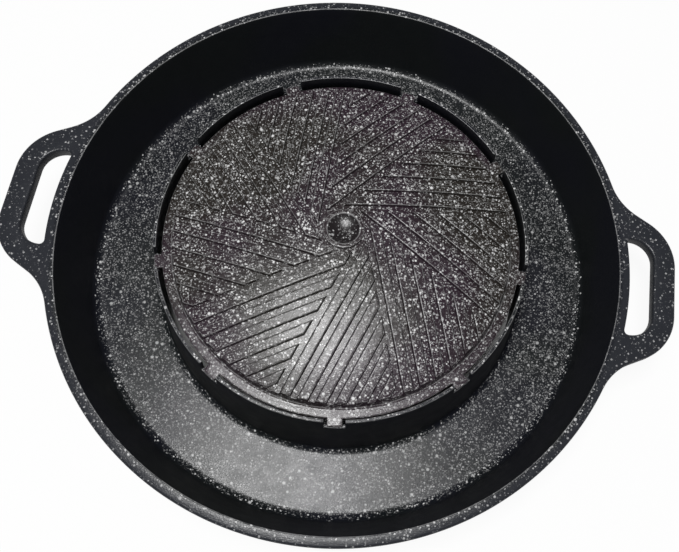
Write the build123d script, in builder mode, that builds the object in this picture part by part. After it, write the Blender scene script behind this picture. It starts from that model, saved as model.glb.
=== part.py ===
from build123d import *
from math import ceil, cos, radians, sin, sqrt, tan
import os

# A round cast pan for soup and grilling together: a ring-shaped trough with two loop ears, an open
# drum in its middle, and a domed grilling plate that hangs in the drum by tabs in its notches.
# Millimetres. Z up, origin on the table under the middle of the pot, ears along X.

# Rim and ears
rim_radius = 170.0
rim_width = 6.0
rim_depth = 7.0
rim_edge_break = 1.2
rim_under_break = 1.0
rim_inner_break = 0.8
ear_projection = 27.4
ear_flat_half_length = 33.7
ear_side_slope = 28.0
ear_corner_round = 31.0
ear_root_round = 34.0
ear_root_depth = 20.0
slot_gap_to_rim = 0.5
slot_bar_width = 13.1
slot_half_length = 30.0
slot_outer_round_share = 0.79
slot_inner_round_share = 0.152
slot_edge_break = 1.0

# Trough
pot_height = 52.0
base_relief = 1.0
base_ring_inset = 10.0
floor_thickness = 4.0
wall_thickness = 3.0
wall_spread = 8.0
trough_outer_round = 6.0
trough_drum_round = 4.5
underside_corner_round = 9.0

# Drum and its collar of notches
drum_top_radius = 107.3
drum_spread = 7.2
drum_base_wall = 3.2
drum_top_wall = 2.0
collar_rise = 8.1
collar_edge_break = 0.5
notch_count = 9
notch_turn = -3.5
notch_side_gap = 1.65

# Grilling plate
plate_vent_gap = 1.5
plate_rise = 1.2
plate_thickness = 3.0
plate_edge_break = 0.6
band_width = 5.5
step_height = 6.4
step_draft = 1.4
step_edge_break = 0.6
dome_rise = 10.9
dome_wall = 3.0
dome_axis_turn = (0, 90, 0)
tab_width = 8.4
tab_overhang = 0.8

# Bars of the grilling face
sector_count = 9
sector_turn = 13.4
bar_width = 6.33
groove_width = 3.12
groove_depth = 1.6
bar_tip_offset = 11.1
boss_radius = 11.8
dimple_radius = 9.7
dimple_depth = 3.0

# How far a cutting shape runs past what it cuts
overrun = 2.0

# Rim, ears and trough, worked out from the sizes above
floor_top = base_relief + floor_thickness
rim_underside = pot_height - rim_depth
rim_inner_radius = rim_radius - rim_width
rim_middle_radius = rim_radius - rim_width / 2
trough_floor_radius = rim_inner_radius - wall_spread
base_ring_radius = trough_floor_radius - base_ring_inset
ear_reach = rim_radius + ear_projection
ear_root_x = rim_radius - ear_root_depth
ear_root_y = ear_flat_half_length + (ear_reach - ear_root_x) * tan(radians(ear_side_slope))
slot_outer_x = ear_reach - slot_bar_width
slot_inner_radius = rim_radius + slot_gap_to_rim
slot_side_length = slot_outer_x - sqrt(slot_inner_radius**2 - slot_half_length**2)

# Drum and plate, worked out from the sizes above
collar_top = pot_height + collar_rise
drum_base_radius = drum_top_radius + drum_spread
flue_top_radius = drum_top_radius - drum_top_wall
flue_base_radius = drum_base_radius - drum_base_wall
plate_top = pot_height + plate_rise
plate_underside = plate_top - plate_thickness
plate_radius = flue_top_radius - plate_vent_gap
step_base_radius = plate_radius - band_width
dome_radius = step_base_radius - step_draft
dome_edge = plate_top + step_height
dome_top = dome_edge + dome_rise
dome_curve_radius = (dome_radius**2 + dome_rise**2) / (2 * dome_rise)
dome_centre = dome_top - dome_curve_radius
groove_centre = dome_centre - groove_depth
hollow_centre = groove_centre - dome_wall
hollow_radius = dome_radius - dome_wall
hollow_edge = hollow_centre + sqrt(dome_curve_radius**2 - hollow_radius**2)
tab_root_radius = plate_radius - band_width / 2
tab_length = drum_top_radius + tab_overhang - tab_root_radius
notch_width = tab_width + 2 * notch_side_gap
notch_length = 2 * (drum_base_wall + overrun)

# Bars, worked out from the sizes above: a sector's last bar is the last to start inside the dome
bar_pitch = bar_width + groove_width
bar_end_x = dome_radius + 2 * overrun
sector_angle = radians(360 / sector_count)
tip_line_length = sqrt(dome_radius**2 - bar_tip_offset**2)
last_bar_offset = bar_tip_offset * cos(sector_angle) + tip_line_length * sin(sector_angle)
bars_in_sector = ceil((last_bar_offset - bar_tip_offset - groove_width) / bar_pitch)


def trough_wall_radius(height):
    """Inside radius of the leaning outer wall at a height."""
    lean = wall_spread / (pot_height - floor_top)
    return trough_floor_radius + lean * (height - floor_top)


def bar_start(offset):
    """Distance along a sector at which a line this far from its axis meets the next sector."""
    return (offset * cos(sector_angle) - bar_tip_offset) / sin(sector_angle)


# Pot: the turned section of base, wall, rim and drum, then the ears, their slots and the notches
with BuildPart() as pot:
    underside_corner = (trough_wall_radius(base_relief) + wall_thickness, base_relief)
    flange_root = (trough_wall_radius(rim_underside) + wall_thickness, rim_underside)
    with BuildSketch(Plane.XZ):
        with BuildLine():
            Polyline(
                (flue_base_radius, 0),
                (base_ring_radius, 0),
                (base_ring_radius, base_relief),
                underside_corner,
                flange_root,
                (rim_radius, rim_underside),
                (rim_radius, pot_height),
                (rim_inner_radius, pot_height),
                (trough_floor_radius, floor_top),
                (drum_base_radius, floor_top),
                (drum_top_radius, collar_top),
                (flue_top_radius, collar_top),
                close=True,
            )
        make_face()
        for corner, size in (
            (underside_corner, underside_corner_round),
            ((trough_floor_radius, floor_top), trough_outer_round),
            ((drum_base_radius, floor_top), trough_drum_round),
        ):
            fillet(vertices().sort_by_distance(Vector(*corner))[0], radius=size)
        for corner, size in (
            ((rim_inner_radius, pot_height), rim_inner_break),
            ((drum_top_radius, collar_top), collar_edge_break),
            ((flue_top_radius, collar_top), collar_edge_break),
        ):
            chamfer(vertices().sort_by_distance(Vector(*corner))[0], length=size)
    revolve(axis=Axis.Z)

    with BuildSketch(Plane.XY.offset(rim_underside)):
        Circle(rim_radius)
        with BuildLine():
            Polyline(
                (ear_root_x, -ear_root_y),
                (ear_reach, -ear_flat_half_length),
                (ear_reach, ear_flat_half_length),
                (ear_root_x, ear_root_y),
                close=True,
            )
        make_face()
        fillet(vertices().group_by(Axis.X)[-1], radius=ear_corner_round)
        fillet(vertices().group_by(Axis.X)[0], radius=ear_root_round)
        mirror(about=Plane.YZ)
        Circle(rim_middle_radius, mode=Mode.SUBTRACT)
    extrude(amount=rim_depth)

    with BuildSketch(Plane.XY.offset(rim_underside)):
        with BuildLine():
            Polyline(
                (ear_root_x, -slot_half_length),
                (slot_outer_x, -slot_half_length),
                (slot_outer_x, slot_half_length),
                (ear_root_x, slot_half_length),
                close=True,
            )
        make_face()
        Circle(slot_inner_radius, mode=Mode.SUBTRACT)
        fillet(vertices().group_by(Axis.X)[-1], radius=slot_side_length * slot_outer_round_share)
        fillet(vertices().group_by(Axis.X)[0], radius=slot_side_length * slot_inner_round_share)
        mirror(about=Plane.YZ)
    extrude(amount=rim_depth, mode=Mode.SUBTRACT)

    for level, rim_break in ((pot_height, rim_edge_break), (rim_underside, rim_under_break)):
        rim_face = faces().filter_by(Axis.Z).sort_by(lambda face: abs(face.center().Z - level))[0]
        chamfer(rim_face.outer_wire().edges(), length=rim_break)
        rim_face = faces().filter_by(Axis.Z).sort_by(lambda face: abs(face.center().Z - level))[0]
        slot_wires = rim_face.inner_wires().sort_by(lambda wire: wire.length)[:-1]
        chamfer(slot_wires.edges(), length=slot_edge_break)

    with BuildSketch(Plane.XY.offset(plate_underside)):
        with PolarLocations(drum_top_radius, notch_count, start_angle=notch_turn):
            Rectangle(notch_length, notch_width)
    extrude(amount=collar_top - plate_underside + overrun, mode=Mode.SUBTRACT)

# Grooves of the grilling face: all that lies between the bars and above the dome of groove floors
with BuildPart() as grooves:
    with BuildSketch(Plane.XY.offset(plate_top)):
        Circle(dome_radius + overrun)
        Circle(boss_radius, mode=Mode.SUBTRACT)
        for sector in range(sector_count):
            turn = notch_turn + sector_turn + sector * 360 / sector_count
            for bar in range(bars_in_sector):
                near = bar_tip_offset + groove_width + bar * bar_pitch
                far = near + bar_width
                with BuildSketch(Plane.XY.rotated((0, 0, turn)), mode=Mode.PRIVATE) as bar_plan:
                    with BuildLine():
                        Polyline(
                            (bar_start(near), near),
                            (bar_end_x, near),
                            (bar_end_x, far),
                            (bar_start(far), far),
                            close=True,
                        )
                    make_face()
                add(bar_plan.sketch, mode=Mode.SUBTRACT)
    extrude(amount=dome_top - plate_top)
    with Locations((0, 0, groove_centre)):
        Sphere(dome_curve_radius, rotation=dome_axis_turn, mode=Mode.SUBTRACT)

# Hollow of the grilling plate's underside, a turned plug with a domed end
with BuildPart() as hollow:
    with BuildSketch(Plane.XZ):
        with BuildLine():
            Polyline(
                (0, plate_underside),
                (step_base_radius - dome_wall, plate_underside),
                (hollow_radius, hollow_edge),
                (hollow_radius, dome_top),
                (0, dome_top),
                close=True,
            )
        make_face()
    revolve(axis=Axis.Z)
    with Locations((0, 0, hollow_centre)):
        Sphere(dome_curve_radius, rotation=dome_axis_turn, mode=Mode.INTERSECT)

# Grilling plate: a turned plate with a flat band, a step and a dome, its tabs, grooves and dimple
with BuildPart() as grill_plate:
    with BuildSketch(Plane.XZ):
        with BuildLine():
            Polyline(
                (0, plate_underside),
                (plate_radius, plate_underside),
                (plate_radius, plate_top),
                (step_base_radius, plate_top),
                (dome_radius, dome_edge),
                (dome_radius - step_edge_break, dome_edge + step_edge_break),
                (dome_radius - step_edge_break, dome_top + overrun),
                (0, dome_top + overrun),
                close=True,
            )
        make_face()
        for level in (plate_underside, plate_top):
            chamfer(vertices().sort_by_distance(Vector(plate_radius, level))[0], length=plate_edge_break)
    revolve(axis=Axis.Z)
    with Locations((0, 0, dome_centre)):
        Sphere(dome_curve_radius, rotation=dome_axis_turn, mode=Mode.INTERSECT)
    with BuildSketch(Plane.XY.offset(plate_underside)):
        with PolarLocations(tab_root_radius + tab_length / 2, notch_count, start_angle=notch_turn):
            Rectangle(tab_length, tab_width)
    extrude(amount=plate_thickness)
    add(grooves.part, mode=Mode.SUBTRACT)
    add(hollow.part, mode=Mode.SUBTRACT)
    with BuildSketch(Plane.XZ):
        with BuildLine():
            TangentArc((0, dome_top - dimple_depth), (dimple_radius, dome_top), tangent=(1, 0))
            Polyline(
                (dimple_radius, dome_top),
                (dimple_radius, dome_top + overrun),
                (0, dome_top + overrun),
                (0, dome_top - dimple_depth),
            )
        make_face()
    revolve(axis=Axis.Z, mode=Mode.SUBTRACT)

os.makedirs("parts", exist_ok=True)
for name, piece in (("pot", pot), ("grill_plate", grill_plate)):
    piece.part.label = name
    export_step(piece.part, f"parts/{name}.step")
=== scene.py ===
from math import asin, atan2, ceil, cos, hypot, inf, pi, radians, sin, sqrt, tan
import bmesh
import bpy
from mathutils import Matrix, Vector


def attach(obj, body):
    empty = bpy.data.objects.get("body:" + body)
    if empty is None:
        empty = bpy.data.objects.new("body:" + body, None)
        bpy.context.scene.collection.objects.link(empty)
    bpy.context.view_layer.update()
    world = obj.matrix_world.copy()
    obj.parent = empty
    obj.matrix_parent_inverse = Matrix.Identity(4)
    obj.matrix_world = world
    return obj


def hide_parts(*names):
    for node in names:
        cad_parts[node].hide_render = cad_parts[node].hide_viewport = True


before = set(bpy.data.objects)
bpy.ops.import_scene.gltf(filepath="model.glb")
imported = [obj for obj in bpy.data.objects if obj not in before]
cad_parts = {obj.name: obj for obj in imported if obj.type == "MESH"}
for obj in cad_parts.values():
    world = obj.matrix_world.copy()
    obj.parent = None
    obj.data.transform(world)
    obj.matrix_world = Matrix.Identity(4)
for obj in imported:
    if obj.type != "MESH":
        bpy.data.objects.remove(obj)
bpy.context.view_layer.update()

# A round two-part pan: a ring-shaped trough with loop ears round an open drum, and a domed grilling
# plate that hangs in the drum by its tabs. Sizes are in millimetres until a piece is finished.
metres_per_mm = 0.001

# Rim, ears and trough
rim_radius = 170.0
rim_width = 6.0
rim_depth = 7.0
rim_edge_round = 1.5
rim_under_round = 1.0
rim_inner_round = 1.0
rim_lip = 1.5
ear_reach = 197.4
ear_flat_half_length = 33.7
ear_side_slope = radians(28)
ear_corner_round = 31.0
ear_root_round = 34.0
slot_inner_radius = 170.5
slot_outer_x = 184.3
slot_half_length = 30.0
slot_outer_round = 13.0
slot_inner_round = 2.5
pot_height = 52.0
floor_top = 5.0
trough_floor_radius = 156.0
wall_thickness = 3.0
base_relief = 1.0
base_ring_radius = 146.0
floor_join_radii = (124.0, 128.0)
underside_corner_round = 9.0
flange_root_round = 2.0
flange_root_width = 2.4
base_ring_round = 0.4
trough_outer_round = 6.0
trough_drum_round = 4.5

# Drum and its notched collar
drum_base_radius = 114.5
drum_top_radius = 107.3
flue_base_radius = 111.3
flue_top_radius = 105.3
flue_edge_round = 1.2
collar_top = 60.1
collar_edge_round = 0.6
notch_floor = 50.2
notch_count = 9
notch_width = 11.7
notch_turn = radians(-3.5)

# Grilling plate
plate_radius = 103.8
plate_top = 53.2
plate_underside = 50.2
band_join_radii = (100.2, 101.2)
step_base_radius = 98.3
step_base_round = 1.2
dome_radius = 96.9
face_radius = 97.25
dome_edge = 59.6
dome_top = 70.5
dome_wall = 3.0
hollow_foot_round = 0.8
hollow_edge_round = 3.0
hollow_crown_share = 0.9
tab_width = 8.4
tab_end_radius = 108.1
tab_edge_round = 0.6

# Bars of the grilling face
sector_count = 9
sector_turn = radians(13.4)
bar_width = 6.33
groove_width = 3.12
groove_depth = 1.6
bar_tip_offset = 11.1
bars_in_sector = 6
bar_draft = 0.5
bar_edge_round = 0.7
bar_top_inset = 0.175
dimple_radius = 9.7
dimple_depth = 3.0
dimple_edge_round = 0.6
dimple_bowl_share = 0.85

# Values worked out from the sizes above
rim_inner_radius = rim_radius - rim_width
rim_underside = pot_height - rim_depth
flange_inner_radius = rim_inner_radius + rim_lip
wall_lean = (rim_inner_radius - trough_floor_radius) / (pot_height - floor_top)
flange_root_radius = rim_inner_radius - wall_lean * rim_depth + wall_thickness
underside_corner_radius = trough_floor_radius - wall_lean * (floor_top - base_relief) + wall_thickness
drum_lean = (drum_base_radius - drum_top_radius) / (collar_top - floor_top)
flue_lean = (flue_base_radius - flue_top_radius) / collar_top
dome_rise = dome_top - dome_edge
dome_curve = (dome_radius**2 + dome_rise**2) / (2 * dome_rise)
sector_angle = 2 * pi / sector_count
boss_radius = bar_tip_offset / cos(sector_angle / 2)
bar_pitch = bar_width + groove_width

# How finely shapes are divided: steps of a turn, and lengths of straight pieces
turn_steps = 240
rim_arc_steps = 48
ear_corner_steps = 14
ear_root_steps = 10
slot_corner_steps = 8
notch_steps = 4
post_steps = 24
tab_steps = 4
tab_gap_steps = 26
boss_steps = 72
face_edge_steps = 16
bar_edge_steps = 4
section_piece = 4.0
bar_piece = 8.0

# How near is near enough when parts of a mesh are welded, cut or looked up
weld_distance = 0.005
level_slack = 0.1
chord_slack = 0.5
edge_margin = 1.0
face_edge_slack = 0.2
line_clearance = 0.05
corner_clearance = 3.4

# Corners that are rounded, creases that are shaded sharp, and large level faces that are shaded flat
corner_angle = radians(60)
crease_angle = radians(40)
level_normal = 0.9999
large_face_area = 400.0

# Camera, fitted to the photograph's round edges
focal_px = 700.0
frame_px = (679.0, 552.0)
centre_px = (384.126, 303.669)
camera_height_turn = radians(71.94)
camera_roll = radians(11.157)
camera_swing = radians(-2.5)
eye_in_rim_radii = (0.17857, -0.92150, 2.22984)
sensor_mm = 36.0
nearest_seen = 0.01

# Colour of the flecks, how the coating turns plain and dull on steep walls with a painted shade there, and
# the painted highlight on rounded edges
fleck_colour = (0.76, 0.76, 0.76)
sparse_fleck_shade = 0.6
# Painted shade: how dark the base colour of steep walls is painted
painted_wall_shade = 0.85
plain_wall_dullness = 0.25
# Painted highlight on rounded edges: its strength, its least share in patches, the surface levels where it
# begins and ends, and how it fades in
edge_highlight = 0.3
least_highlight_share = 0.3
highlight_from = (0.6, 0.78)
highlight_to = (0.9, 0.985)
highlight_fullness = 0.3
highlight_fade_height = 1.0

# Share of the flecks that the rim, the plate and its dimple carry, against the trough, and how the
# shares fade into each other
rim_fleck_share = 0.35
rim_fade_radii = (163.5, 168.0)
plate_fleck_share = 1.15
dimple_fleck_share = 0.6
dimple_fade_width = 1.0

# Flecks: size of a pattern's cells, widest fleck, share of cells that hold one, dimmest fleck
fine_flecks = (0.95, 0.60, 1.0, 0.1)
middling_flecks = (1.6, 0.85, 0.75, 0.12)
large_flecks = (4.2, 1.3, 0.4, 0.5)
narrowest_share = 0.4
core_share = 0.5
fleck_raggedness = 0.5
raggedness_size = 0.9

# Patches: size, detail, and the values of the noise at which they begin and are full
density_patches = (16.0, 2.0, 0.25, 0.7)
highlight_patches = (5.0, 2.0, 0.3, 0.65)
tint_patches = (70.0, 1.0, 0.38, 0.62)
polish_patches = (9.0, 3.0, 0.3, 0.7)
density_range = (0.55, 1.1)

# Relief of the coating
grain_size = 0.7
grain_detail = 3.0
fleck_relief = 0.5
relief_strength = 0.6
relief_depth = 0.00016

# Floor and light, in metres: the floor doesn't glow inside the flue
floor_half_size = 3.0
floor_grey = 0.95
floor_glow = 0.93
glow_from_radii = (0.1125, 0.1142)
world_strength = 0.2
lamp_size = 0.3
lamp_power = 10.0
lamp_place = (-0.11, -0.09, 1.15)


# Meshes
def pen_line(shape, start, place):
    """Adds a straight edge from a vertex to a place and returns the vertex there."""
    end = shape.verts.new(place)
    shape.edges.new((start, end))
    return end


def pen_arc(shape, start, centre, angle, steps):
    """Adds an arc from a vertex about a centre in plan and returns the vertex at its end."""
    made = bmesh.ops.spin(
        shape, geom=[start], cent=(*centre, start.co.z), axis=(0, 0, 1), angle=angle, steps=steps,
    )
    return made["geom_last"][0]


def weld(shape):
    """Merges vertices that lie on each other."""
    bmesh.ops.remove_doubles(shape, verts=shape.verts, dist=weld_distance)


def joined(parts):
    """A new shape that holds several, welded where they meet."""
    whole = bmesh.new()
    for part in parts:
        mesh = bpy.data.meshes.new("part")
        part.to_mesh(mesh)
        part.free()
        whole.from_mesh(mesh)
        bpy.data.meshes.remove(mesh)
    weld(whole)
    return whole


def round_corner(shape, corner, radius, steps):
    """Rounds a corner of a wire outline."""
    ways = [edge.other_vert(corner).co - corner.co for edge in corner.link_edges]
    reach = radius / tan(ways[0].angle(ways[1]) / 2)
    bmesh.ops.bevel(
        shape, geom=[corner], offset=reach, offset_type="OFFSET", segments=steps, profile=0.5,
        affect="VERTICES", clamp_overlap=False, material=-1,
    )


def round_edges(shape, edges, radius, steps):
    """Rounds edges of a solid."""
    bmesh.ops.bevel(
        shape, geom=edges, offset=radius, offset_type="OFFSET", segments=steps, profile=0.5,
        affect="EDGES", clamp_overlap=True, material=-1,
    )


def turned(section, start, parts):
    """A new shape: an outline of (radius, height, rounding, steps) corners, spun all the way round in
    repeated (angle, steps) parts."""
    shape = bmesh.new()
    corners = [shape.verts.new((radius, 0, height)) for radius, height, rounding, steps in section]
    for near, far in zip(corners, corners[1:]):
        shape.edges.new((near, far))
    for corner, (radius, height, rounding, steps) in zip(corners, section):
        if rounding:
            round_corner(shape, corner, rounding, steps)
    for edge in [edge for edge in shape.edges if edge.calc_length() > section_piece]:
        cuts = ceil(edge.calc_length() / section_piece) - 1
        bmesh.ops.subdivide_edges(shape, edges=[edge], cuts=cuts)
    bmesh.ops.rotate(shape, cent=(0, 0, 0), matrix=Matrix.Rotation(start, 3, "Z"), verts=shape.verts)
    geometry = shape.verts[:] + shape.edges[:]
    for repeat in range(round(2 * pi / sum(angle for angle, steps in parts))):
        for angle, steps in parts:
            made = bmesh.ops.spin(
                shape, geom=geometry, cent=(0, 0, 0), axis=(0, 0, 1), angle=angle, steps=steps,
            )
            geometry = made["geom_last"]
    weld(shape)
    return shape


def plan_radius(vert):
    """How far a vertex lies from the pan's axis."""
    return hypot(*vert.co.xy)


def vertices_of(made):
    """The vertices that an operator has made."""
    return [item for item in made["geom"] if isinstance(item, bmesh.types.BMVert)]


def ring_edges(shape, radius, height, face_count=1, radius_slack=level_slack):
    """Edges of a ring at a radius and height that have so many faces, one where the ring is open."""
    return [
        edge for edge in shape.edges if len(edge.link_faces) == face_count and all(
            abs(plan_radius(vert) - radius) < radius_slack and abs(vert.co.z - height) < level_slack
            for vert in edge.verts
        )
    ]


def outer_corners(shape, heights, radii=(0, inf)):
    """Edges that turn outwards sharply, within a margin round a band of heights and one of radii."""
    low, high = heights[0] - edge_margin, heights[1] + edge_margin
    near, far = radii[0] - edge_margin, radii[1] + edge_margin
    return [
        edge for edge in shape.edges if len(edge.link_faces) == 2 and edge.is_convex
        and edge.calc_face_angle() > corner_angle and all(
            low < vert.co.z < high and near < plan_radius(vert) < far for vert in edge.verts
        )
    ]


def pushed_out(shape, faces):
    """Extrudes faces of a solid and returns the new vertices, which have yet to be moved."""
    made = bmesh.ops.extrude_face_region(shape, geom=faces)
    bmesh.ops.delete(shape, geom=[face for face in faces if face.is_valid], context="FACES")
    return vertices_of(made)


def add_object(name, data):
    """Puts a new object into the scene."""
    added = bpy.data.objects.new(name, data)
    bpy.context.scene.collection.objects.link(added)
    return added


def finish_piece(name, body, shape):
    """Turns a bmesh in millimetres into a finished object in metres that stands for a node."""
    weld(shape)
    bmesh.ops.recalc_face_normals(shape, faces=shape.faces)
    for face in shape.faces:
        face.smooth = abs(face.normal.z) < level_normal or face.calc_area() < large_face_area
    bmesh.ops.scale(shape, vec=(metres_per_mm,) * 3, verts=shape.verts)
    mesh = bpy.data.meshes.new(name)
    shape.to_mesh(mesh)
    shape.free()
    mesh.set_sharp_from_angle(angle=crease_angle)
    piece = add_object(name, mesh)
    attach(piece, body)
    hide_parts(body)
    return piece


# Pot
def draw_flange_quarter(shape):
    """A quarter of the flange in plan, with half an ear and half its slot."""
    side = Vector((-cos(ear_side_slope), sin(ear_side_slope)))
    across = Vector((sin(ear_side_slope), cos(ear_side_slope)))
    side_offset = across.dot((ear_reach, ear_flat_half_length))
    root_reach = rim_radius + ear_root_round
    root_along = sqrt(root_reach**2 - (side_offset + ear_root_round) ** 2)
    root = across * (side_offset + ear_root_round) - side * root_along
    root_turn = atan2(root.y, root.x)
    corner_turn = pi / 2 - ear_side_slope
    corner = (ear_reach - ear_corner_round, ear_flat_half_length - ear_corner_round * tan(corner_turn / 2))
    slot_corner_y = slot_half_length - slot_inner_round
    slot_corner_x = sqrt((slot_inner_radius + slot_inner_round) ** 2 - slot_corner_y**2)
    slot_turn = atan2(slot_corner_y, slot_corner_x)
    slot_bend = (slot_outer_x - slot_outer_round, slot_half_length - slot_outer_round)

    tip = shape.verts.new((flange_inner_radius, 0, 0))
    pen = pen_line(shape, tip, (slot_inner_radius, 0, 0))
    pen = pen_arc(shape, pen, (0, 0), slot_turn, slot_corner_steps)
    pen = pen_arc(shape, pen, (slot_corner_x, slot_corner_y), -slot_turn - pi / 2, slot_corner_steps)
    pen = pen_line(shape, pen, (slot_bend[0], slot_half_length, 0))
    pen = pen_arc(shape, pen, slot_bend, -pi / 2, ear_corner_steps)
    pen = pen_line(shape, pen, (slot_outer_x, 0, 0))
    pen = pen_line(shape, pen, (ear_reach, 0, 0))
    pen = pen_line(shape, pen, (ear_reach, corner[1], 0))
    pen = pen_arc(shape, pen, corner, corner_turn, ear_corner_steps)
    pen = pen_line(shape, pen, (*(root - across * ear_root_round), 0))
    pen = pen_arc(shape, pen, root, root_turn - corner_turn, ear_root_steps)
    pen = pen_arc(shape, pen, (0, 0), pi / 2 - root_turn, rim_arc_steps)
    pen = pen_line(shape, pen, (0, flange_inner_radius, 0))
    pen_arc(shape, pen, (0, 0), -pi / 2, turn_steps // 4)
    weld(shape)
    bmesh.ops.contextual_create(shape, geom=shape.edges[:])


def make_flange():
    """The rim's flat flange with both ears, open along its inner edge where the bowl joins it."""
    shape = bmesh.new()
    draw_flange_quarter(shape)
    for axis in "XY":
        geometry = shape.verts[:] + shape.edges[:] + shape.faces[:]
        bmesh.ops.mirror(shape, geom=geometry, merge_dist=weld_distance, axis=axis)
    bmesh.ops.translate(shape, vec=(0, 0, rim_underside), verts=shape.verts)
    made = bmesh.ops.extrude_face_region(shape, geom=shape.faces[:], use_keep_orig=True)
    bmesh.ops.translate(shape, vec=(0, 0, rim_depth), verts=vertices_of(made))
    bmesh.ops.recalc_face_normals(shape, faces=shape.faces)
    inner = {vert for vert in shape.verts if plan_radius(vert) < flange_inner_radius + level_slack}
    walls = [face for face in shape.faces if inner.issuperset(face.verts)]
    bmesh.ops.delete(shape, geom=walls, context="FACES")
    low_inner = [vert for vert in inner if vert.co.z < rim_underside + level_slack]
    grow = (flange_root_radius + flange_root_width) / flange_inner_radius
    bmesh.ops.scale(shape, vec=(grow, grow, 1), verts=low_inner)
    round_edges(shape, outer_corners(shape, (pot_height, pot_height)), rim_edge_round, steps=4)
    round_edges(shape, outer_corners(shape, (rim_underside, rim_underside)), rim_under_round, steps=2)
    return shape


def make_bowl():
    """The trough's outer wall inside and outside, with its floor and underside."""
    inside = (
        (flange_inner_radius, pot_height, 0, 0),
        (rim_inner_radius, pot_height, rim_inner_round, 5),
        (trough_floor_radius, floor_top, trough_outer_round, 9),
        (floor_join_radii[1], floor_top, 0, 0),
    )
    outside = (
        (floor_join_radii[1], 0, 0, 0),
        (base_ring_radius, 0, base_ring_round, 2),
        (base_ring_radius, base_relief, base_ring_round, 2),
        (underside_corner_radius, base_relief, underside_corner_round, 9),
        (flange_root_radius, rim_underside, flange_root_round, 5),
        (flange_root_radius + flange_root_width, rim_underside, 0, 0),
    )
    return [turned(section, 0, ((2 * pi, turn_steps),)) for section in (inside, outside)]


def make_drum():
    """The open drum, with the posts of its collar between the notches."""
    notch_rise = collar_top - notch_floor
    outer_radius = drum_top_radius + drum_lean * notch_rise
    inner_radius = flue_top_radius + flue_lean * notch_rise
    notch_half_turn = asin(notch_width / 2 / outer_radius)
    section = (
        (floor_join_radii[0], floor_top, 0, 0),
        (drum_base_radius, floor_top, trough_drum_round, 8),
        (outer_radius, notch_floor, 0, 0),
        (inner_radius, notch_floor, 0, 0),
        (flue_base_radius, 0, flue_edge_round, 4),
        (floor_join_radii[0], 0, 0, 0),
    )
    post_turn = sector_angle - 2 * notch_half_turn
    start = notch_turn - notch_half_turn
    shape = turned(section, start, ((2 * notch_half_turn, notch_steps), (post_turn, post_steps)))
    posts = []
    for face in shape.faces:
        middle = face.calc_center_median()
        past_start = (atan2(middle.y, middle.x) - start) % sector_angle
        at_top = all(abs(vert.co.z - notch_floor) < level_slack for vert in face.verts)
        if at_top and past_start > 2 * notch_half_turn:
            posts.append(face)
    tops = pushed_out(shape, posts)
    bmesh.ops.translate(shape, vec=(0, 0, notch_rise), verts=tops)
    middle_radius = (outer_radius + inner_radius) / 2
    outer = [vert for vert in tops if plan_radius(vert) > middle_radius]
    inner = [vert for vert in tops if plan_radius(vert) < middle_radius]
    bmesh.ops.scale(shape, vec=(drum_top_radius / outer_radius,) * 2 + (1,), verts=outer)
    bmesh.ops.scale(shape, vec=(flue_top_radius / inner_radius,) * 2 + (1,), verts=inner)
    bmesh.ops.recalc_face_normals(shape, faces=shape.faces)
    corners = outer_corners(shape, (notch_floor, collar_top), (flue_top_radius, drum_base_radius))
    round_edges(shape, corners, collar_edge_round, steps=3)
    return shape


shape = joined([make_drum(), make_flange(), *make_bowl()])
for height in (floor_top, 0):
    loops = [edge for radius in floor_join_radii for edge in ring_edges(shape, radius, height)]
    bmesh.ops.triangle_fill(shape, use_beauty=True, edges=loops, normal=(0, 0, 1))
pot = finish_piece("pot_casting", "pot", shape)


# Grilling plate
def draw_sector(shape):
    """Outline of one sector of the grilling face, laid out flat."""
    tip_along = sqrt(face_radius**2 - bar_tip_offset**2)
    start = shape.verts.new((-bar_tip_offset * tan(sector_angle / 2), bar_tip_offset, 0))
    pen = pen_arc(shape, start, (0, 0), -sector_angle, boss_steps // sector_count)
    pen = pen_line(shape, pen, (tip_along, bar_tip_offset, 0))
    pen = pen_arc(shape, pen, (0, 0), sector_angle, face_edge_steps)
    shape.edges.new((pen, start))


def sector_frame(number):
    """How a sector is turned. In its own frame its bars run along X."""
    return Matrix.Rotation(notch_turn + sector_turn + number * sector_angle, 3, "Z")


def cut_sectors(shape, way, distances, clearance):
    """Cuts each sector by lines square to a way in its own frame, keeping clear of its vertices."""
    for number in range(sector_count):
        normal = sector_frame(number) @ way
        for distance in distances:
            faces = [face for face in shape.faces if face.material_index == number]
            edges = list({edge for face in faces for edge in face.edges})
            verts = list({vert for face in faces for vert in face.verts})
            bmesh.ops.bisect_plane(
                shape, geom=faces + edges + verts, dist=clearance, plane_co=normal * distance,
                plane_no=normal,
            )


def raise_bars(shape, bars):
    """Raises the bars' faces from the grooves, with sloping sides and rounded edges."""
    turns = [radians(90 * step / bar_edge_steps) for step in range(bar_edge_steps + 1)]
    rises = [(bar_draft, groove_depth - bar_edge_round)]
    rises += [
        (bar_edge_round * (cos(turn) - cos(after)), bar_edge_round * (sin(after) - sin(turn)))
        for turn, after in zip(turns, turns[1:])
    ]
    rises.append((bar_top_inset, 0))
    for width, height in rises:
        bmesh.ops.inset_region(
            shape, faces=bars, thickness=width, depth=height, use_boundary=True, use_even_offset=True,
        )


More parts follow.
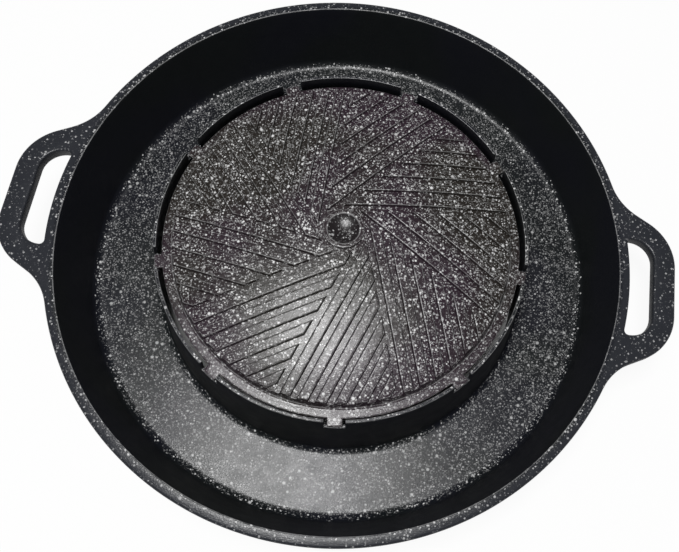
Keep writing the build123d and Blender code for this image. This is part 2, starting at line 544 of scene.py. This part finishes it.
def make_face():
    """The domed grilling face: sectors of parallel bars that run like a pinwheel round the boss."""
    shape = bmesh.new()
    for number in range(sector_count):
        old = set(shape.verts)
        draw_sector(shape)
        verts = [vert for vert in shape.verts if vert not in old]
        edges = list({edge for vert in verts for edge in vert.link_edges})
        made = bmesh.ops.contextual_create(shape, geom=edges)
        made["faces"][0].material_index = number
        bmesh.ops.rotate(shape, cent=(0, 0, 0), matrix=sector_frame(number), verts=verts)
    weld(shape)
    along = [
        bar_tip_offset + bar * bar_pitch + side
        for bar in range(bars_in_sector + 1) for side in (0, groove_width)
    ]
    cut_sectors(shape, Vector((0, 1, 0)), along[1:], line_clearance)
    spare = [
        vert for vert in shape.verts
        if len(vert.link_edges) == 2 and vert.co.length > face_radius - face_edge_slack and any(
            edge.calc_length() < corner_clearance and len(edge.other_vert(vert).link_edges) > 2
            for edge in vert.link_edges
        )
    ]
    bmesh.ops.dissolve_verts(shape, verts=spare)
    across = [bar_piece * step for step in range(ceil(face_radius / bar_piece))]
    cut_sectors(shape, Vector((1, 0, 0)), across, corner_clearance)
    bars = []
    for face in shape.faces:
        middle = sector_frame(face.material_index).inverted() @ face.calc_center_median()
        if (middle.y - bar_tip_offset) % bar_pitch > groove_width:
            bars.append(face)
        face.material_index = 0
    bmesh.ops.recalc_face_normals(shape, faces=shape.faces)
    if shape.faces[0].normal.z < 0:
        bmesh.ops.reverse_faces(shape, faces=shape.faces)
    raise_bars(shape, bars)
    return shape


def make_boss():
    """The round boss in the middle of the grilling face, with its dimple."""
    dimple_curve = (dimple_radius**2 + dimple_depth**2) / (2 * dimple_depth)
    dimple_slope = asin(dimple_radius / dimple_curve)
    dimple_floor = groove_depth - dimple_depth
    section = (
        (boss_radius, 0, 0, 0),
        (boss_radius, groove_depth, bar_edge_round, 5),
        (dimple_radius, groove_depth, dimple_edge_round, 4),
        (dimple_curve * tan(dimple_slope / 2), dimple_floor, dimple_curve * dimple_bowl_share, 10),
        (0, dimple_floor, 0, 0),
    )
    start = notch_turn + sector_turn + pi / 2 + sector_angle / 2
    return turned(section, start, ((2 * pi, boss_steps),))


def make_band():
    """The plate's flat band, edge, underside and hollow, with the tabs that hold it in the notches."""
    hollow_top = dome_top - groove_depth - dome_wall
    hollow_radius = dome_radius - dome_wall
    hollow_slope = asin(hollow_radius / dome_curve)
    hollow_edge = hollow_top - dome_curve * (1 - cos(hollow_slope))
    tab_half_turn = asin(tab_width / 2 / plate_radius)
    section = (
        (band_join_radii[1], plate_top, 0, 0),
        (plate_radius, plate_top, 0, 0),
        (plate_radius, plate_underside, 0, 0),
        (step_base_radius - dome_wall, plate_underside, hollow_foot_round, 3),
        (hollow_radius, hollow_edge, hollow_edge_round, 4),
        (dome_curve * tan(hollow_slope / 2), hollow_top, dome_curve * hollow_crown_share, 16),
        (0, hollow_top, 0, 0),
    )
    gap_turn = sector_angle - 2 * tab_half_turn
    parts = ((2 * tab_half_turn, tab_steps), (gap_turn, tab_gap_steps))
    shape = turned(section, notch_turn - tab_half_turn, parts)
    for number in range(notch_count):
        way = Matrix.Rotation(notch_turn + number * sector_angle, 3, "Z") @ Vector((1, 0, 0))
        ends = [
            face for face in shape.faces
            if all(plan_radius(vert) > plate_radius - level_slack for vert in face.verts)
            and face.calc_center_median().xy.normalized().dot(way.xy) > cos(tab_half_turn)
        ]
        tips = pushed_out(shape, ends)
        bmesh.ops.translate(shape, vec=way * (tab_end_radius - plate_radius), verts=tips)
    bmesh.ops.recalc_face_normals(shape, faces=shape.faces)
    corners = outer_corners(shape, (plate_underside, plate_top), (plate_radius, tab_end_radius))
    round_edges(shape, corners, tab_edge_round, steps=3)
    return shape


def lay_on_dome(shape):
    """Lifts a flat grilling face so that the tops of its bars lie on the dome."""
    for vert in shape.verts:
        vert.co.z += sqrt(dome_curve**2 - plan_radius(vert) ** 2) - dome_curve + dome_top - groove_depth


def make_step(shape):
    """Carries the grilling face's edge down to the flat band."""
    edge_loop = [
        edge for edge in shape.edges if len(edge.link_faces) == 1
        and all(plan_radius(vert) > face_radius - edge_margin for vert in edge.verts)
    ]
    inner = face_radius
    for radius in (step_base_radius, band_join_radii[0]):
        made = bmesh.ops.extrude_edge_only(shape, edges=edge_loop)
        new_edges = [item for item in made["geom"] if isinstance(item, bmesh.types.BMEdge)]
        edge_loop = [edge for edge in new_edges if edge.is_boundary]
        grow = radius / inner
        inner = radius
        matrix = Matrix.Translation((0, 0, plate_top)) @ Matrix.Diagonal((grow, grow, 0, 1))
        bmesh.ops.transform(shape, matrix=matrix, verts=vertices_of(made))
    foot = ring_edges(shape, step_base_radius, plate_top, face_count=2, radius_slack=chord_slack)
    round_edges(shape, foot, step_base_round, steps=4)


shape = joined([make_face(), make_boss()])
lay_on_dome(shape)
make_step(shape)
shape = joined([shape, make_band()])
band_loop = ring_edges(shape, band_join_radii[1], plate_top)
step_loop = ring_edges(shape, band_join_radii[0], plate_top, radius_slack=chord_slack)
bmesh.ops.bridge_loops(shape, edges=band_loop + step_loop)
plate = finish_piece("grill_plate_casting", "grill_plate", shape)


# Camera
level = Vector((1, 0, 0))
rising = Vector((0, sin(camera_height_turn), cos(camera_height_turn)))
backward = Vector((0, -cos(camera_height_turn), sin(camera_height_turn)))
right = level * cos(camera_roll) + rising * sin(camera_roll)
upward = rising * cos(camera_roll) - level * sin(camera_roll)
swing = Matrix.Rotation(camera_swing, 4, "Z")
aim = Matrix((right, upward, backward)).transposed().to_4x4()
eye_at = Vector(eye_in_rim_radii) * rim_radius + Vector((0, 0, pot_height))
camera_data = bpy.data.cameras.new("camera")
camera_data.sensor_width = sensor_mm
camera_data.lens = sensor_mm * focal_px / frame_px[0]
camera_data.shift_x = (frame_px[0] / 2 - centre_px[0]) / frame_px[0]
camera_data.shift_y = (centre_px[1] - frame_px[1] / 2) / frame_px[0]
camera_data.clip_start = nearest_seen
camera = add_object("camera", camera_data)
camera.matrix_world = swing @ Matrix.Translation(eye_at * metres_per_mm) @ aim
bpy.context.scene.camera = camera


# Coatings
def new_coat(name):
    """A material with no nodes yet."""
    coat = bpy.data.materials.new(name)
    coat.use_nodes = True
    coat.node_tree.nodes.clear()
    return coat


def paint(piece, coat):
    """Gives a piece its one material."""
    piece.data.materials.clear()
    piece.data.materials.append(coat)


def add_node(coat, kind, inputs=None, **settings):
    """Adds a node and gives its sockets a value each, or the output that feeds them."""
    made = coat.node_tree.nodes.new(kind)
    for name, value in settings.items():
        setattr(made, name, value)
    for name, value in (inputs or {}).items():
        if isinstance(value, bpy.types.NodeSocket):
            coat.node_tree.links.new(value, made.inputs[name])
        else:
            made.inputs[name].default_value = value
    return made


def work_out(coat, operation, *values):
    """Combines numbers."""
    inputs = dict(enumerate(values))
    return add_node(coat, "ShaderNodeMath", inputs, operation=operation).outputs[0]


def work_out_vector(coat, operation, *values, output="Vector"):
    """Combines vectors, into a vector or into the number in the output Value."""
    inputs = dict(enumerate(values))
    return add_node(coat, "ShaderNodeVectorMath", inputs, operation=operation).outputs[output]


def height_in(coat, vector):
    """The Z part of a vector."""
    return add_node(coat, "ShaderNodeSeparateXYZ", {0: vector}).outputs[2]


def distance_out(coat, place):
    """How far a place lies from the pan's axis."""
    flat = work_out_vector(coat, "MULTIPLY", place, (1, 1, 0))
    return work_out_vector(coat, "LENGTH", flat, output="Value")


def fade(coat, value, start, end, low=0.0, high=1.0):
    """Goes softly from low to high while a value goes from start to end."""
    inputs = {"Value": value, "From Min": start, "From Max": end, "To Min": low, "To Max": high}
    return add_node(coat, "ShaderNodeMapRange", inputs, interpolation_type="SMOOTHSTEP").outputs[0]


def blend_colours(coat, share, first, second):
    """Goes from the first colour to the second as a share goes from 0 to 1."""
    made = add_node(coat, "ShaderNodeMix", {"Factor": share}, data_type="RGBA")
    for socket, colour in ((made.inputs[6], first), (made.inputs[7], second)):
        if isinstance(colour, bpy.types.NodeSocket):
            coat.node_tree.links.new(colour, socket)
        else:
            socket.default_value = (*colour, 1)
    return made.outputs[2]


def cloud(coat, place, size, detail):
    """Outputs of a noise whose lumps have a size in millimetres."""
    inputs = {"Vector": place, "Scale": 1 / size, "Detail": detail}
    return add_node(coat, "ShaderNodeTexNoise", inputs).outputs


def patches(coat, place, kind, low, high):
    """Soft patches of one kind that go from low to high."""
    size, detail, start, end = kind
    return fade(coat, cloud(coat, place, size, detail)[0], start, end, low, high)


def flecks(coat, place, kind, density):
    """Flecks of one kind, each with its own width and brightness."""
    cell, widest, share, dimmest = kind
    cells = add_node(coat, "ShaderNodeTexVoronoi", {"Vector": place, "Scale": 1 / cell}).outputs
    own = add_node(coat, "ShaderNodeSeparateColor", {"Color": cells["Color"]}).outputs
    reach = fade(coat, own[0], 0, 1, narrowest_share * widest / cell, widest / cell)
    spot = fade(coat, cells["Distance"], reach, work_out(coat, "MULTIPLY", reach, core_share))
    there = work_out(coat, "LESS_THAN", own[1], work_out(coat, "MULTIPLY", density, share))
    bright = fade(coat, own[2], 0, 1, dimmest, 1)
    return work_out(coat, "MULTIPLY", work_out(coat, "MULTIPLY", spot, there), bright)


def make_coating(name, level, thinning, facing_range, highlight_above, fine_strength, tints, sparse_tint,
                 polish_range, shine):
    """Black stone-fleck coating, which is plain where the spray that carries the flecks slid by. Steep
    walls are also painted darker as shade, and rounded edges carry a patchy painted highlight.
    """
    coat = new_coat(name)
    spot = add_node(coat, "ShaderNodeTexCoord").outputs
    mapping = {"Vector": spot["Object"], "Scale": (1 / metres_per_mm,) * 3}
    place = add_node(coat, "ShaderNodeMapping", mapping).outputs[0]
    wander = cloud(coat, place, raggedness_size, 1.0)["Color"]
    shift = work_out_vector(coat, "MULTIPLY", wander, (fleck_raggedness,) * 3)
    ragged = work_out_vector(coat, "ADD", place, shift)

    lie = level(coat, place, spot["Normal"])
    facing = fade(coat, lie, *facing_range)
    spread = thinning(coat, place)
    fullness = fade(coat, spread, rim_fleck_share, 1.0)
    amount = work_out(coat, "MULTIPLY", facing, spread)
    density = work_out(coat, "MULTIPLY", amount, patches(coat, place, density_patches, *density_range))
    fine = work_out(coat, "MULTIPLY", flecks(coat, ragged, fine_flecks, density), fine_strength)
    middling = flecks(coat, ragged, middling_flecks, density)
    large = flecks(coat, ragged, large_flecks, density)
    brightest = work_out(coat, "MAXIMUM", fine, work_out(coat, "MAXIMUM", middling, large))
    pale = work_out(coat, "MULTIPLY", brightest, fade(coat, fullness, 0, 1, sparse_fleck_shade, 1))
    # Painted highlight: rounded edges, where the surface turns between level and steep, are painted pale
    # in patches
    corner = work_out(coat, "MULTIPLY", fade(coat, lie, *highlight_from), fade(coat, lie, *highlight_to, 1, 0))
    raised = fade(coat, height_in(coat, place), highlight_above - highlight_fade_height, highlight_above)
    edge_glint = work_out(coat, "MULTIPLY", corner, raised)
    edge_glint = work_out(coat, "MULTIPLY", edge_glint, fade(coat, fullness, highlight_fullness, 1.0))
    patchy = patches(coat, place, highlight_patches, least_highlight_share * edge_highlight, edge_highlight)
    pale = work_out(coat, "MAXIMUM", pale, work_out(coat, "MULTIPLY", edge_glint, patchy))

    tone = blend_colours(coat, patches(coat, place, tint_patches, 0, 1), *tints)
    tone = blend_colours(coat, fullness, sparse_tint, tone)
    # Painted shade: steep walls are given a darker base colour
    depth = fade(coat, facing, 0, 1, painted_wall_shade, 1)
    shaded_tone = blend_colours(coat, depth, (0, 0, 0), tone)
    colour = blend_colours(coat, pale, shaded_tone, fleck_colour)
    lumps = cloud(coat, place, grain_size, grain_detail)[0]
    grain = work_out(coat, "ADD", lumps, work_out(coat, "MULTIPLY", pale, fleck_relief))
    relief = add_node(coat, "ShaderNodeBump", {
        "Height": grain, "Strength": relief_strength, "Distance": relief_depth,
    }).outputs[0]
    polish = patches(coat, place, polish_patches, *polish_range)
    gloss = work_out(coat, "ADD", polish, fade(coat, facing, 0, 1, plain_wall_dullness, 0))
    shader = add_node(coat, "ShaderNodeBsdfPrincipled", {
        "Base Color": colour, "Roughness": gloss, "Normal": relief, "Specular IOR Level": shine,
    })
    add_node(coat, "ShaderNodeOutputMaterial", {"Surface": shader.outputs[0]})
    return coat


def pot_level(coat, place, normal):
    """How squarely a surface of the pot faces up."""
    return height_in(coat, normal)


def plate_level(coat, place, normal):
    """How squarely a surface of the plate faces out of its dome, or straight up on its band."""
    outward = work_out_vector(coat, "SUBTRACT", place, (0, 0, dome_top - dome_curve))
    outward = work_out_vector(coat, "NORMALIZE", outward)
    along = work_out_vector(coat, "DOT_PRODUCT", normal, outward, output="Value")
    return work_out(coat, "MAXIMUM", along, height_in(coat, normal))


def pot_thinning(coat, place):
    """The rim and ears carry fewer flecks than the trough and the collar."""
    return fade(coat, distance_out(coat, place), *rim_fade_radii, 1.0, rim_fleck_share)


def plate_thinning(coat, place):
    """The plate carries the most, with fewer down in its middle dimple."""
    fade_radii = (dimple_radius - dimple_fade_width, dimple_radius)
    return fade(coat, distance_out(coat, place), *fade_radii, dimple_fleck_share, plate_fleck_share)


paint(pot, make_coating(
    "pot_coating", pot_level, pot_thinning, facing_range=(0.5, 0.9),
    highlight_above=rim_underside + highlight_fade_height,
    fine_strength=0.40, tints=((0.008, 0.010, 0.011), (0.008, 0.009, 0.014)),
    sparse_tint=(0.022, 0.024, 0.030), polish_range=(0.31, 0.25), shine=0.33,
))
paint(plate, make_coating(
    "plate_coating", plate_level, plate_thinning, facing_range=(0.25, 0.7), highlight_above=0.0,
    fine_strength=0.60, tints=((0.017, 0.014, 0.011), (0.023, 0.012, 0.020)),
    sparse_tint=(0.006, 0.006, 0.006), polish_range=(0.30, 0.23), shine=0.45,
))


# Floor and light
floor_shape = bmesh.new()
bmesh.ops.create_grid(floor_shape, x_segments=1, y_segments=1, size=floor_half_size)
floor_mesh = bpy.data.meshes.new("floor")
floor_shape.to_mesh(floor_mesh)
floor_shape.free()
floor = add_object("floor", floor_mesh)

floor_coat = new_coat("floor_paper")
paper = add_node(floor_coat, "ShaderNodeBsdfDiffuse", {"Color": (floor_grey, floor_grey, floor_grey, 1)})
glow = add_node(floor_coat, "ShaderNodeEmission", {"Color": (1, 1, 1, 1), "Strength": 1.0})
ray = add_node(floor_coat, "ShaderNodeLightPath").outputs
seen = work_out(floor_coat, "MAXIMUM", ray["Is Camera Ray"], ray["Is Glossy Ray"])
floor_place = add_node(floor_coat, "ShaderNodeTexCoord").outputs["Object"]
outside = fade(floor_coat, distance_out(floor_coat, floor_place), *glow_from_radii)
glowing = work_out(floor_coat, "MULTIPLY", work_out(floor_coat, "MULTIPLY", seen, outside), floor_glow)
mixed = add_node(floor_coat, "ShaderNodeMixShader", {0: glowing, 1: paper.outputs[0], 2: glow.outputs[0]})
add_node(floor_coat, "ShaderNodeOutputMaterial", {"Surface": mixed.outputs[0]})
paint(floor, floor_coat)

world = bpy.data.worlds.new("studio")
world.use_nodes = True
background = world.node_tree.nodes["Background"].inputs
background["Color"].default_value = (1, 1, 1, 1)
background["Strength"].default_value = world_strength
bpy.context.scene.world = world
bpy.context.scene.view_settings.view_transform = "Standard"

lamp_data = bpy.data.lights.new("softbox", "AREA")
lamp_data.shape = "RECTANGLE"
lamp_data.size = lamp_size
lamp_data.size_y = lamp_size
lamp_data.energy = lamp_power
lamp = add_object("softbox", lamp_data)
lamp.location = lamp_place
lamp.rotation_euler = (-lamp.location).to_track_quat("-Z", "Y").to_euler()
